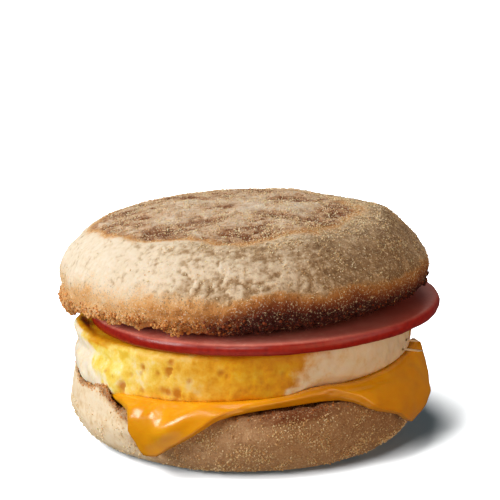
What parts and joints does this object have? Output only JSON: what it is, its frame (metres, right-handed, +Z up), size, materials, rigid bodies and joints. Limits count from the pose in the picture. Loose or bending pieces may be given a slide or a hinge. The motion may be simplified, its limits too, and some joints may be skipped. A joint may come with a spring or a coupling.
{
  "type": "breakfast sandwich",
  "caption": "Split toasted English muffin stacked round a slice of back bacon, a ring-cooked egg and a square slice of melted cheese whose corners hang down the side.",
  "frame": {"origin": "middle of the flat spot under the lower half of the muffin", "axes": "+Z up; -Y is the front, the side that the picture shows; +X is the right of the picture"},
  "size_m": [0.097, 0.0938, 0.0586],
  "materials": {
    "lower_muffin": "dry, floury crust with toasted crumb",
    "cheese": "soft, melted sheen",
    "egg": "moist, slightly porous",
    "bacon": "wet sheen",
    "upper_muffin": "dry, floury crust with a browned top"
  },
  "bodies": {
    "root": {"muffin_heel": "lower_muffin", "melted_cheese": "cheese", "ring_egg": "egg", "round_ham": "bacon", "muffin_crown": "upper_muffin"}
  },
  "joints": []
}
